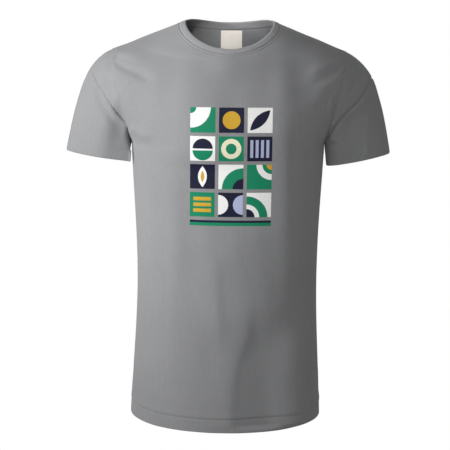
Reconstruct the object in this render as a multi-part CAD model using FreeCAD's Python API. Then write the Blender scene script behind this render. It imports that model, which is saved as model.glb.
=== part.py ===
"""Short-sleeved crew-neck T-shirt in single jersey, in the shape it takes on an upright wearer.

Frame: +Z up, the front faces -Y, +X is to the right of someone who looks at the front.
The origin is between the two high shoulder points, where the neck opening crosses the shoulder line.
All sizes are millimetres.

The body is one form, drawn as a net of points: closed ovals at many heights, from below the hem to
above the neck. A piece of cloth is the layer between two offsets of that form, and it is cut where the
real panels are sewn: along the sides and shoulders, round each armhole, and round the neck.
A sleeve is a second form, a fan of rings that turns about the underarm from the armhole to the cuff.
"""
import FreeCAD, Part
import math
import os

# Drops below the high shoulder point
BODY_LENGTH = 704.0
WAIST_DROP = 463.0
CHEST_DROP = 185.0
UNDERARM_DROP = 213.0
FRONT_NECK_DROP = 48.0
BACK_NECK_DROP = 6.0
HEM_TILT_DEG = 4.0

# Half widths, from the centre line to the side
HEM_HALF_WIDTH = 171.0
WAIST_HALF_WIDTH = 160.5
CHEST_HALF_WIDTH = 170.0
SHOULDER_HALF_WIDTH = 206.0
NECK_HALF_WIDTH = 73.5
SHOULDER_SLOPE_DEG = 21.8

# Depths, from the side seam to the front and to the back
HEM_FRONT = 120.0
HEM_BACK = 118.0
WAIST_FRONT = 119.0
WAIST_BACK = 101.0
CHEST_FRONT = 131.0
CHEST_BACK = 112.0
NECK_FRONT = 98.0
NECK_BACK = 76.0
ARMHOLE_HALF_DEPTH = 68.0

# Sleeve
SLEEVE_UNDERARM_LENGTH = 35.0
SLEEVE_UNDERARM_SHIFT = 4.0
SLEEVE_UNDERARM_BOW = 8.0
SLEEVE_OPENING = 113.0
SLEEVE_CUFF_TILT_DEG = 8.7
SLEEVE_HALF_DEPTH = 54.0
SHOULDER_REACH = 40.0
SHOULDER_FALL = 53.0

# Cloth and trims
WALL = 1.0
RIB_HEIGHT = 15.0
RIB_PROUD = 0.4
RIB_THICKNESS = 2.0
BODY_HEM_HEIGHT = 26.0
SLEEVE_HEM_HEIGHT = 20.0
TURNED_WALL = 0.9
TAPE_WIDTH = 10.0
TAPE_THICKNESS = 0.7
SEAM_WIDTH = 7.0
SEAM_THICKNESS = 1.2
LABEL_WIDTH = 40.0
LABEL_HEIGHT = 46.0
LABEL_THICKNESS = 0.5

# How the forms are drawn
AROUND = 36
SLEEVE_RINGS = 14
ARMHOLE_SKEW = 0.9
ARMHOLE_ROUNDNESS = 1.8
FRONT_NECK_ROUNDNESS = 1.8
BACK_NECK_ROUNDNESS = 2.1
SPARE = 20.0

SLOPE = math.tan(math.radians(SHOULDER_SLOPE_DEG))
SHOULDER_TIP_Z = -(SHOULDER_HALF_WIDTH - NECK_HALF_WIDTH) * SLOPE
UNDERARM_Z = -UNDERARM_DROP
HEM_Z = -BODY_LENGTH
FAR = 2 * BODY_LENGTH
SEAM_HALF_WIDTH = NECK_HALF_WIDTH + RIB_HEIGHT * math.cos(math.radians(SHOULDER_SLOPE_DEG))


# Curves that the forms are read from

def through(stations, at):
    """A smooth curve through (place, value) stations, which are sorted by place, with no overshoot."""
    places = [p for p, _ in stations]
    values = [v for _, v in stations]
    steps = [b - a for a, b in zip(places, places[1:])]
    rises = [(b - a) / s for a, b, s in zip(values, values[1:], steps)]
    slopes = [rises[0]]
    for before, after in zip(rises, rises[1:]):
        slopes.append(2 * before * after / (before + after) if before * after > 0 else 0.0)
    slopes.append(rises[-1])
    if at <= places[0]:
        return values[0] + slopes[0] * (at - places[0])
    if at >= places[-1]:
        return values[-1] + slopes[-1] * (at - places[-1])
    i = max(k for k in range(len(steps)) if places[k] <= at)
    t = (at - places[i]) / steps[i]
    return ((1 + 2 * t) * (1 - t) ** 2 * values[i] + t * (1 - t) ** 2 * steps[i] * slopes[i]
            + t * t * (3 - 2 * t) * values[i + 1] - t * t * (1 - t) * steps[i] * slopes[i + 1])


def front_depth(z):
    """Depth of the front at the centre line, at height z."""
    return through([(HEM_Z, HEM_FRONT), (-WAIST_DROP, WAIST_FRONT), (-CHEST_DROP, CHEST_FRONT),
                    (-FRONT_NECK_DROP, NECK_FRONT), (0.0, 0.72 * NECK_FRONT)], z)


def back_depth(z):
    """Depth of the back at the centre line, at height z."""
    return through([(HEM_Z, HEM_BACK), (-WAIST_DROP, WAIST_BACK), (-CHEST_DROP, CHEST_BACK),
                    (-BACK_NECK_DROP, NECK_BACK), (SPARE, 0.9 * NECK_BACK)], z)


def front_roundness(z):
    """Superellipse power of the front: 2 is an ellipse, more is squarer."""
    return through([(HEM_Z, 2.05), (-WAIST_DROP, 2.2), (UNDERARM_Z, 2.35), (SHOULDER_TIP_Z, 1.7),
                    (0.0, 2.0)], z)


def back_roundness(z):
    """Superellipse power of the back."""
    return through([(HEM_Z, 2.05), (-WAIST_DROP, 2.3), (UNDERARM_Z, 2.6), (SHOULDER_TIP_Z, 1.8),
                    (0.0, 2.0)], z)


def armhole_x(z):
    """The armhole seams lie in a plane that leans: its x at height z."""
    share = (SHOULDER_TIP_Z - z) / (SHOULDER_TIP_Z - UNDERARM_Z)
    return SHOULDER_HALF_WIDTH + share * (CHEST_HALF_WIDTH - SHOULDER_HALF_WIDTH)


def armhole_front(z):
    """Depth of the front panel where it meets the sleeve, at height z."""
    share = min(1.0, max(0.0, (SHOULDER_TIP_Z - z) / (SHOULDER_TIP_Z - UNDERARM_Z)))
    off_middle = abs(2 * share ** ARMHOLE_SKEW - 1)
    return ARMHOLE_HALF_DEPTH * (1 - off_middle ** ARMHOLE_ROUNDNESS) ** (1 / ARMHOLE_ROUNDNESS)


def half_width(z):
    """Half width of the body form, at height z. Beside the armholes the form runs on past them."""
    if z >= SHOULDER_TIP_Z:
        return NECK_HALF_WIDTH - z / SLOPE if z < 0 else NECK_HALF_WIDTH - z
    if z > UNDERARM_Z:
        n = front_roundness(z)
        return armhole_x(z) / (1 - (armhole_front(z) / front_depth(z)) ** n) ** (1 / n)
    return through([(HEM_Z, HEM_HALF_WIDTH), (-WAIST_DROP, WAIST_HALF_WIDTH),
                    (UNDERARM_Z, CHEST_HALF_WIDTH)], z)


def back_at(x, z):
    """Depth of the back panel at a place across it."""
    n = back_roundness(z)
    return back_depth(z) * max(0.0, 1 - (abs(x) / half_width(z)) ** n) ** (1 / n)


# Nets of points and the layers between them

def vec(x, y, z):
    return FreeCAD.Vector(x, y, z)


def spread(low, high, count, ease=1.0):
    """Heights from low up to high, closer together at high when ease is over 1."""
    return [high - (high - low) * (1 - i / count) ** ease for i in range(count)]


def body_points():
    """Rows of the body form, from below the hem to above the neck. Each row runs once round from +X
    over the front."""
    rows = []
    for z in (spread(HEM_Z - 2 * SPARE, UNDERARM_Z, 13, 1.5) + spread(UNDERARM_Z, SHOULDER_TIP_Z, 11, 1.3)
              + spread(SHOULDER_TIP_Z, 0.0, 7) + [0.0, 0.4 * SPARE, 0.8 * SPARE]):
        row = []
        for i in range(AROUND):
            angle = 2 * math.pi * i / AROUND
            c, s = math.cos(angle), -math.sin(angle)
            depth, n = (back_depth(z), back_roundness(z)) if s > 0 else (front_depth(z), front_roundness(z))
            x = half_width(z) * math.copysign(abs(c) ** (2 / n), c)
            y = depth * math.copysign(abs(s) ** (2 / n), s) if i % (AROUND // 2) else 0.0
            row.append(vec(x, y, z))
        rows.append(row)
    return rows


def bezier(points, t):
    """A place on the Bezier curve of three or four points."""
    while len(points) > 1:
        points = [a + (b - a) * t for a, b in zip(points, points[1:])]
    return points[0]


def sleeve_points(side):
    """Rings of a sleeve form, from the armhole plane to the cuff plane. Each ring is flat, and runs once
    round from the underarm over the front."""
    tilt = math.radians(SLEEVE_CUFF_TILT_DEG)
    under = vec(CHEST_HALF_WIDTH, 0, UNDERARM_Z)
    top = vec(SHOULDER_HALF_WIDTH, 0, SHOULDER_TIP_Z)
    under_end = under + vec(SLEEVE_UNDERARM_SHIFT, 0, -SLEEVE_UNDERARM_LENGTH)
    top_end = under_end + vec(math.cos(tilt), 0, math.sin(tilt)) * SLEEVE_OPENING
    low_path = [under, under + vec(SLEEVE_UNDERARM_BOW, 0, -SLEEVE_UNDERARM_BOW), under_end]
    high_path = [top, top + vec(SHOULDER_REACH, 0, -SHOULDER_REACH / 2),
                 top + vec(1.5 * SHOULDER_REACH, 0, -SHOULDER_FALL), top_end]
    rings = []
    for k in range(SLEEVE_RINGS + 1):
        s = k / SLEEVE_RINGS
        low, high = bezier(low_path, s), bezier(high_path, s)
        ring = []
        for i in range(AROUND):
            angle = 2 * math.pi * i / AROUND
            t = (1 - math.cos(angle)) / 2
            z = UNDERARM_Z + t * (SHOULDER_TIP_Z - UNDERARM_Z)
            at_armhole = back_at(armhole_x(z), z) if i > AROUND / 2 else armhole_front(z)
            at_cuff = SLEEVE_HALF_DEPTH * abs(math.sin(angle))
            y = at_armhole + (at_cuff - at_armhole) * s * s * (3 - 2 * s) if i % (AROUND // 2) else 0.0
            place = low + (high - low) * t
            ring.append(vec(side * place.x, math.copysign(y, i - AROUND / 2), place.z))
        rings.append(ring)
    return rings


def sharpened(rows):
    """Poles that make a smooth surface pass through the points instead of inside them."""
    out = []
    for row in rows:
        out.append([p - (row[i - 1] + row[(i + 1) % len(row)] - p * 2) * (1 / 6) for i, p in enumerate(row)])
    return out


def offset(rows, inward, flat_rows):
    """The same net moved in along its own normals. Rows that are flat can be kept in their own planes."""
    count = len(rows[0])
    out = []
    for r, row in enumerate(rows):
        below, above = rows[max(0, r - 1)], rows[min(len(rows) - 1, r + 1)]
        middle = sum(row, vec(0, 0, 0)) * (1 / count)
        across = (row[count // 2] - row[0]).cross(vec(0, 1, 0)).normalize()
        moved = []
        for i in range(count):
            normal = (row[(i + 1) % count] - row[i - 1]).cross(above[i] - below[i])
            if i % (count // 2) == 0:
                normal.y = 0.0
            normal.normalize()
            if normal.dot(row[i] - middle) > 0:
                normal = normal * -1
            step = normal * inward
            if flat_rows:
                level = normal - across * normal.dot(across)
                step = level * (inward / max(0.4, level.dot(level)))
            moved.append(row[i] + step)
        out.append(moved)
    return out


def patch(rows):
    """A cubic surface over an open net of poles."""
    def clamped(count):
        return [4] + [1] * (count - 4) + [4], [float(k) for k in range(count - 2)]
    u_mults, u_knots = clamped(len(rows))
    v_mults, v_knots = clamped(len(rows[0]))
    surface = Part.BSplineSurface()
    surface.buildFromPolesMultsKnots(rows, u_mults, v_mults, u_knots, v_knots, False, False, 3, 3)
    return surface


def rim(a, b):
    """The strip between matching edges of two surfaces."""
    return Part.makeRuledSurface(a.toShape(), b.toShape())


def layer(rows, shallow, deep, front, flat_rows=False):
    """The solid between two offsets of a form, for its front half or its back half."""
    half = len(rows[0]) // 2
    surfaces = []
    for depth in (shallow, deep):
        moved = offset(rows, depth, flat_rows)
        cut = [row[:half + 1] if front else row[half:] + row[:1] for row in moved]
        surfaces.append(patch(cut))
    a, b = surfaces
    ua, ub, va, vb = a.bounds()
    faces = [a.toShape(), b.toShape(), rim(a.uIso(ua), b.uIso(ua)), rim(a.uIso(ub), b.uIso(ub)),
             rim(a.vIso(va), b.vIso(va)), rim(a.vIso(vb), b.vIso(vb))]
    shell = Part.Shell(faces)
    shell.sewShape()
    solid = Part.Solid(shell)
    if solid.Volume < 0:
        solid.reverse()
    return solid


# Cutters

def slab(corner, x_axis, z_axis):
    """A half space: everything on the far side of a plane through corner, along z_axis."""
    x_axis, z_axis = x_axis.normalize(), z_axis.normalize()
    y_axis = z_axis.cross(x_axis)
    low = corner - x_axis * FAR - y_axis * FAR
    face = Part.Face(Part.makePolygon([low, low + x_axis * 2 * FAR, low + x_axis * 2 * FAR + y_axis * 2 * FAR,
                                       low + y_axis * 2 * FAR, low]))
    return face.extrude(z_axis * FAR)


def beyond_armhole(side, shift=0.0):
    """Everything outside an armhole plane, or outside a plane that far out from it."""
    up = vec(side * (SHOULDER_HALF_WIDTH - CHEST_HALF_WIDTH), 0, SHOULDER_TIP_Z - UNDERARM_Z).normalize()
    out = vec(side * up.z, 0, -side * up.x)
    return slab(vec(side * CHEST_HALF_WIDTH, 0, UNDERARM_Z) + out * shift, up, out)


def beyond_cuff(side, shift=0.0):
    """Everything past a sleeve's cuff, or past a plane that far above it."""
    tilt = math.radians(SLEEVE_CUFF_TILT_DEG)
    along = vec(side * math.cos(tilt), 0, math.sin(tilt))
    down = vec(side * math.sin(tilt), 0, -math.cos(tilt))
    corner = vec(side * (CHEST_HALF_WIDTH + SLEEVE_UNDERARM_SHIFT), 0, UNDERARM_Z - SLEEVE_UNDERARM_LENGTH)
    return slab(corner - down * shift, along, down)


def below_hem(shift=0.0):
    """Everything below the body hem, or below a plane that far above it."""
    tilt = math.radians(HEM_TILT_DEG)
    return slab(vec(0, 0, HEM_Z + shift), vec(1, 0, 0), vec(0, math.sin(tilt), -math.cos(tilt)))


def above_neckline(half_width_there, top, drop, roundness, front):
    """Everything above a U-shaped neckline, cut straight through the front or the back."""
    points = []
    for i in range(25):
        angle = math.pi * i / 24
        c, s = math.cos(angle), math.sin(angle)
        points.append(vec(half_width_there * math.copysign(abs(c) ** (2 / roundness), c), 0,
                          top - drop * s ** (2 / roundness)))
    curve = Part.BSplineCurve()
    curve.interpolate(points)
    high = 3 * SPARE
    edge = [points[-1], vec(-half_width_there, 0, high), vec(half_width_there, 0, high), points[0]]
    wire = Part.Wire([curve.toShape(), Part.makeLine(edge[0], edge[1]), Part.makeLine(edge[1], edge[2]),
                      Part.makeLine(edge[2], edge[3])])
    wire.translate(vec(0, 1.0 if front else -1.0, 0))
    return Part.Face(wire).extrude(vec(0, -BODY_LENGTH if front else BODY_LENGTH, 0))


def neck_opening(front):
    """The space above the free edge of the rib."""
    if front:
        return above_neckline(NECK_HALF_WIDTH, 0.0, FRONT_NECK_DROP, FRONT_NECK_ROUNDNESS, True)
    return above_neckline(NECK_HALF_WIDTH, 0.0, BACK_NECK_DROP, BACK_NECK_ROUNDNESS, False)


def neck_seam(front, down=0.0):
    """The space above the seam that joins the rib to the panels, or above a line a little below it."""
    top = -RIB_HEIGHT * math.sin(math.radians(SHOULDER_SLOPE_DEG))
    wide = SEAM_HALF_WIDTH + down
    if front:
        return above_neckline(wide, top, FRONT_NECK_DROP + 12.0 + top + down, FRONT_NECK_ROUNDNESS, True)
    return above_neckline(wide, top, BACK_NECK_DROP + RIB_HEIGHT + top + down, BACK_NECK_ROUNDNESS, False)


def block(x0, x1, y0, y1, z0, z1):
    return Part.makeBox(x1 - x0, y1 - y0, z1 - z0, vec(x0, y0, z0))


# Pieces

def cloth(body, shallow, deep, front):
    """A layer of the body, cut off at the armholes and the hem."""
    piece = layer(body, shallow, deep, front)
    above_underarm = block(-FAR, FAR, -FAR, FAR, UNDERARM_Z, FAR)
    armholes = [beyond_armhole(side).common(above_underarm) for side in (1, -1)]
    return piece.cut(armholes + [below_hem()])


def panel(body, front):
    return cloth(body, 0.0, WALL, front).cut(neck_seam(front))


def neck_rib(body):
    halves = [cloth(body, -RIB_PROUD, RIB_THICKNESS - RIB_PROUD, front).common(neck_seam(front))
              .cut(neck_opening(front)) for front in (True, False)]
    return halves[0].fuse(halves[1]).removeSplitter()


def body_hem(body):
    """The bottom edge turned up inside."""
    halves = [cloth(body, WALL, WALL + TURNED_WALL, front).common(below_hem(BODY_HEM_HEIGHT))
              for front in (True, False)]
    return halves[0].fuse(halves[1]).removeSplitter()


def neck_tape(body):
    """Woven tape that covers the back neck seam inside."""
    strip = cloth(body, WALL, WALL + TAPE_THICKNESS, False).common(neck_seam(False, TAPE_WIDTH))
    return strip.cut(neck_seam(False))


def neck_label(body):
    top = -(BACK_NECK_DROP + RIB_HEIGHT)
    zone = block(-LABEL_WIDTH / 2, LABEL_WIDTH / 2, 0, BODY_LENGTH, top - LABEL_HEIGHT, top)
    depth = WALL + TAPE_THICKNESS
    return cloth(body, depth, depth + LABEL_THICKNESS, False).common(zone)


def side_seam(body, side):
    """The trimmed and overlocked edges of front and back, pressed to the back."""
    zone = block(0, FAR, 0, SEAM_WIDTH, -FAR, UNDERARM_Z - 1.0)
    if side < 0:
        zone = zone.mirror(vec(0, 0, 0), vec(1, 0, 0))
    strip = cloth(body, WALL, WALL + SEAM_THICKNESS, False).common(zone)
    return strip.cut(below_hem(BODY_HEM_HEIGHT))


def shoulder_seam(body, side):
    zone = block(SEAM_HALF_WIDTH + TAPE_WIDTH + 1.0, FAR, 0, SEAM_WIDTH, SHOULDER_TIP_Z - SPARE, FAR)
    if side < 0:
        zone = zone.mirror(vec(0, 0, 0), vec(1, 0, 0))
    return cloth(body, WALL, WALL + SEAM_THICKNESS, False).common(zone)


def sleeve_band(side, shallow, deep):
    """A layer of one sleeve all the way round, from the armhole to the cuff."""
    form = sharpened(sleeve_points(side))
    halves = [layer(form, shallow, deep, front, True) for front in (True, False)]
    return halves[0].fuse(halves[1]).removeSplitter()


def main():
    os.makedirs("parts", exist_ok=True)
    body = sharpened(body_points())
    pieces = {
        "front_panel": panel(body, True),
        "back_panel": panel(body, False),
        "neck_rib": neck_rib(body),
        "body_hem": body_hem(body),
        "neck_tape": neck_tape(body),
        "neck_label": neck_label(body),
    }
    for name, side in (("left", 1), ("right", -1)):
        inside = sleeve_band(side, WALL, WALL + SEAM_THICKNESS)
        pieces["sleeve_" + name] = sleeve_band(side, 0.0, WALL)
        pieces["sleeve_hem_" + name] = sleeve_band(side, WALL, WALL + TURNED_WALL).common(
            beyond_cuff(side, SLEEVE_HEM_HEIGHT))
        pieces["armhole_seam_" + name] = inside.cut([beyond_armhole(side, SEAM_WIDTH),
                                                     beyond_cuff(side, SLEEVE_HEM_HEIGHT)])
        pieces["side_seam_" + name] = side_seam(body, side)
        pieces["shoulder_seam_" + name] = shoulder_seam(body, side)
    for name, shape in pieces.items():
        if len(shape.Solids) == 1:
            shape = shape.Solids[0]
        print(name, shape.ShapeType, len(shape.Solids), shape.isValid(), round(shape.Volume),
              [round(v) for v in (shape.BoundBox.XMin, shape.BoundBox.XMax, shape.BoundBox.YMin,
                                  shape.BoundBox.YMax, shape.BoundBox.ZMin, shape.BoundBox.ZMax)])
        shape.exportStep("parts/" + name + ".step")


if __name__ == "__main__":
    main()
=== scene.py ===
"""Looks of a grey jersey T-shirt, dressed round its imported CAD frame.

The cloth follows the same body form as the CAD source: closed ovals at many heights. Folds are added
along the form's normals, as functions of the place in space, so they run on across the seams.
Lengths are millimetres until a mesh is made.
"""

import math

import bmesh
import bpy
import numpy as np
from mathutils import Matrix, Vector
from mathutils.bvhtree import BVHTree


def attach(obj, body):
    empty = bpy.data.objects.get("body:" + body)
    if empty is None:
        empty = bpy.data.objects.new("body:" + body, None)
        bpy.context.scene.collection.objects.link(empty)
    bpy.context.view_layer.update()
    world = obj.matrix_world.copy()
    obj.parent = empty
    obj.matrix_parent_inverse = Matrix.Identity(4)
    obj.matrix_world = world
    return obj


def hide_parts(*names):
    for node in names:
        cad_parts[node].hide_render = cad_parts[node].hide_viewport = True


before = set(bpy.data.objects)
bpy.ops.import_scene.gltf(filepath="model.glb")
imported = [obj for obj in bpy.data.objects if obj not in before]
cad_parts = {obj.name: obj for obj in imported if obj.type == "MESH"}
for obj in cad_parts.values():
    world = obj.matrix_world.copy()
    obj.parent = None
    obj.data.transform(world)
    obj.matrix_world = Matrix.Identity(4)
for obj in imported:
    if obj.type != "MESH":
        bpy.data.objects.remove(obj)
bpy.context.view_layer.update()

MM = 0.001
PI = math.pi

# Named sizes, the same as in the part's source
BODY_LENGTH = 704.0
HEM_Z = -BODY_LENGTH
WAIST_Z = -463.0
UNDERARM_Z = -213.0
CHEST_Z = -185.0
FRONT_NECK_Z = -48.0
BACK_NECK_Z = -6.0
HEM_TILT = math.radians(4.0)
HEM_HALF_WIDTH = 171.0
WAIST_HALF_WIDTH = 160.5
CHEST_HALF_WIDTH = 170.0
SHOULDER_HALF_WIDTH = 206.0
NECK_HALF_WIDTH = 73.5
SLOPE = math.tan(math.radians(21.8))
TIP_Z = -(SHOULDER_HALF_WIDTH - NECK_HALF_WIDTH) * SLOPE
HEM_FRONT, HEM_BACK = 120.0, 118.0
WAIST_FRONT, WAIST_BACK = 119.0, 101.0
CHEST_FRONT, CHEST_BACK = 131.0, 112.0
NECK_FRONT, NECK_BACK = 98.0, 76.0
ARMHOLE_HALF_DEPTH = 68.0
ARMHOLE_SKEW = 0.9
ARMHOLE_ROUNDNESS = 1.8
SHOULDER_REACH = 40.0
SHOULDER_FALL = 53.0
SPARE = 20.0                  # how far the back's form goes on above the shoulders

# The neckline, a few millimetres wider than its CAD solid: (x, z) places along the back edge, and for the
# others the half width, top, low and roundness of an oval
EDGE_WIDE, EDGE_TOP = 76.7, -1.3
SEAM_WIDE, SEAM_TOP = 87.8, -5.7
BACK_EDGE = [(0, -4.5), (15, -4.1), (30, -2.7), (48, -0.5), (60, 0.8), (66, 1.0), (72, 0.4),
             (EDGE_WIDE, EDGE_TOP)]
FRONT_EDGE = (EDGE_WIDE, EDGE_TOP, -49.3, 1.8)
BACK_SEAM = (SEAM_WIDE, SEAM_TOP, -17.3, 1.6)
FRONT_SEAM = (SEAM_WIDE, SEAM_TOP, -58.0, 1.8)
NECK_LOWEST, NECK_HIGHEST = -120.0, 3.0

# Each cuff, a little apart from its solid: how far its underarm end hangs below the armhole, its width, its
# tilt, its half depth (54 in the part's source, but the photographed cuffs are flatter), how much it turns to
# bring the underarm forward, and whether the underarm is pressed into a fold that lies level with the front
CUFFS = {1: (40.0, 116.5, math.radians(11.2), 42.0, 0.10, False),
         -1: (34.0, 118.5, math.radians(6.6), 38.0, 0.36, True)}

# Cloth: thicknesses, and the gaps between layers that lie on each other
CLOTH = 0.95
HEM_WALL = 0.85
CUFF_WALL = 0.8
EDGE_WALL = 1.0
TAPE_WALL = 0.62
LABEL_WALL = 0.4
LAYER_GAP = 0.08
SEAM_GAP = 0.1
LABEL_GAP = 0.12

# Hems, seams and stitch lines, as lengths of cloth from the edge that they follow
BODY_HEM = 26.0
SLEEVE_HEM = 20.0
SEAM_WIDTH = 7.0
HEM_STITCHES = (22.6, 26.0)
NECK_STITCHES = (1.5, 3.7)
SLEEVE_STITCHES = (16.6, 20.0)
HEM_ROLL = 1.6                # the rolled edge of the hem
CUFF_ROLL = 1.4

# How deep seams and rows of stitches sink into the cloth
SEAM_DIP = 0.6
ARMHOLE_DIP = 0.5
HEM_STITCH_DIP = 0.35
CUFF_STITCH_DIP = 0.3

# Nets
HALF = 180                    # columns across the front, and as many across the back
LOWER_ROWS = 128              # from the hem to the underarm
UPPER_ROWS = 84               # from the underarm to the neck seam
ROW_STEP = 1.8                # stands in for the length of the rows just below NECK_ROWS, on the back
SLEEVE_AROUND = 264
SLEEVE_ALONG = 104


# The form

def through(stations, at):
    """A smooth curve through (place, value) stations with no overshoot, at many places at once."""
    places, values = (np.array(v, float) for v in zip(*stations))
    at = np.asarray(at, float)
    steps = np.diff(places)
    rises = np.diff(values) / steps
    a, b = rises[:-1], rises[1:]
    inner = np.where(a * b > 0, 2 * a * b / np.where(a + b == 0, 1, a + b), 0.0)
    slopes = np.concatenate([rises[:1], inner, rises[-1:]])
    i = np.clip(np.searchsorted(places, at, side="right") - 1, 0, len(steps) - 1)
    t = (at - places[i]) / steps[i]
    inside = ((1 + 2 * t) * (1 - t) ** 2 * values[i] + t * (1 - t) ** 2 * steps[i] * slopes[i]
              + t * t * (3 - 2 * t) * values[i + 1] - t * t * (1 - t) * steps[i] * slopes[i + 1])
    low = values[0] + slopes[0] * (at - places[0])
    high = values[-1] + slopes[-1] * (at - places[-1])
    return np.where(at <= places[0], low, np.where(at >= places[-1], high, inside))


def front_depth(z):
    return through([(HEM_Z, HEM_FRONT), (WAIST_Z, WAIST_FRONT), (CHEST_Z, CHEST_FRONT),
                    (FRONT_NECK_Z, NECK_FRONT), (0, 0.72 * NECK_FRONT)], z)


def back_depth(z):
    return through([(HEM_Z, HEM_BACK), (WAIST_Z, WAIST_BACK), (CHEST_Z, CHEST_BACK),
                    (BACK_NECK_Z, NECK_BACK), (SPARE, 0.9 * NECK_BACK)], z)


def front_roundness(z):
    """Superellipse power of the front: 2 is an ellipse, more is squarer."""
    return through([(HEM_Z, 2.05), (WAIST_Z, 2.2), (UNDERARM_Z, 2.35), (TIP_Z, 1.7), (0, 2.0)], z)


def back_roundness(z):
    return through([(HEM_Z, 2.05), (WAIST_Z, 2.3), (UNDERARM_Z, 2.6), (TIP_Z, 1.8), (0, 2.0)], z)


def armhole_x(z):
    """The armhole seams lie in a plane that leans: its x at height z."""
    share = (TIP_Z - z) / (TIP_Z - UNDERARM_Z)
    return SHOULDER_HALF_WIDTH + share * (CHEST_HALF_WIDTH - SHOULDER_HALF_WIDTH)


def armhole_front(z):
    share = np.clip((TIP_Z - z) / (TIP_Z - UNDERARM_Z), 0, 1)
    off_middle = np.abs(2 * share ** ARMHOLE_SKEW - 1)
    return ARMHOLE_HALF_DEPTH * np.maximum(0, 1 - off_middle ** ARMHOLE_ROUNDNESS) ** (1 / ARMHOLE_ROUNDNESS)


def half_width(z):
    z = np.asarray(z, float)
    neck = np.where(z < 0, NECK_HALF_WIDTH - z / SLOPE, NECK_HALF_WIDTH - z)
    n = front_roundness(z)
    beside = armhole_x(z) / (1 - (armhole_front(z) / front_depth(z)) ** n) ** (1 / n)
    below = through([(HEM_Z, HEM_HALF_WIDTH), (WAIST_Z, WAIST_HALF_WIDTH), (UNDERARM_Z, CHEST_HALF_WIDTH)], z)
    return np.where(z >= TIP_Z, neck, np.where(z > UNDERARM_Z, beside, below))


def form(angle, z):
    """Places on the body form. Angle 0 is the +X side and the front comes next."""
    c, s = np.cos(angle), np.sin(angle)
    front = s >= 0
    n = np.where(front, front_roundness(z), back_roundness(z))
    depth = np.where(front, -front_depth(z), back_depth(z))
    x = half_width(z) * np.sign(c) * np.abs(c) ** (2 / n)
    y = depth * np.abs(s) ** (2 / n)
    return np.stack(np.broadcast_arrays(x, y, z), -1)


def line_height(line, x):
    """The height of a neckline at x."""
    if isinstance(line, list):
        return through(line, np.minimum(np.abs(x), line[-1][0]))
    wide, top, low, n = line
    return top - (top - low) * (1 - np.minimum(1.0, np.abs(x) / wide) ** n) ** (1 / n)


def neckline(angle, front_line, back_line):
    """The height at which each column of the form meets a neckline."""
    low, high = np.full(len(angle), NECK_LOWEST), np.full(len(angle), NECK_HIGHEST)
    for _ in range(40):                   # each halving brings it closer
        z = (low + high) / 2
        x = form(angle, z)[:, 0]
        line = np.where(np.sin(angle) >= 0, line_height(front_line, x), line_height(back_line, x))
        low, high = np.where(z < line, z, low), np.where(z < line, high, z)
    return (low + high) / 2


def neck_seam(angle):
    return neckline(angle, FRONT_SEAM, BACK_SEAM)


def neck_edge(angle):
    return neckline(angle, FRONT_EDGE, BACK_EDGE)


# Folds

def smooth(t):
    t = np.clip(t, 0, 1)
    return t * t * (3 - 2 * t)


def along(p, line):
    """For each place, seen from the front: how far it is from a line, positive on the line's left, and its
    share along the line."""
    line = np.array(line, float)
    p = p[:, [0, 2]]
    best = np.full(len(p), 1e9)
    share = np.zeros(len(p))
    runs = np.linalg.norm(np.diff(line, axis=0), axis=1)
    gone = 0.0
    for start, end, run in zip(line, line[1:], runs):
        step = end - start
        rel = p - start
        t = np.clip(rel @ step / run ** 2, 0, 1)
        off = rel - t[:, None] * step
        far = np.linalg.norm(off, axis=1)
        side = np.where(step[0] * off[:, 1] - step[1] * off[:, 0] >= 0, 1.0, -1.0)
        near = far < np.abs(best)
        best = np.where(near, far * side, best)
        share = np.where(near, (gone + t * run) / runs.sum(), share)
        gone += run
    return best, share


def crease(p, line, height, left, right, start=0.25, end=0.4):
    """A soft ridge, or a valley where height is under 0, that dies away to both sides and both ends."""
    off, share = along(p, line)
    wide = np.where(off > 0, left, right)
    return height * np.exp(-(off / wide) ** 2) * smooth(share / start) * smooth((1 - share) / end)


def folded(p, front_folds, back_folds):
    out = np.zeros(len(p))
    front = p[:, 1] < 0
    for folds, here in ((front_folds, front), (back_folds, ~front)):
        for fold in folds:
            out[here] += crease(p[here], *fold)
    return out


def bump(p, centre, radii, height):
    rel = (p - np.array(centre)) / np.array(radii)
    return height * np.exp(-(rel ** 2).sum(1))


def ripples(p, seed, across, up, size, count=7):
    """Low soft undulations, longer upwards than across."""
    rng = np.random.default_rng(seed)
    out = np.zeros(len(p))
    for _ in range(count):
        turn = rng.uniform(-0.5, 0.5)
        k = np.array([math.cos(turn) / across, math.sin(turn) / across, rng.uniform(-1, 1) / up])
        out += np.sin(p @ (k * 2 * PI * rng.uniform(0.7, 1.4)) + rng.uniform(0, 2 * PI))
    return out * size / count ** 0.5


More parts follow.
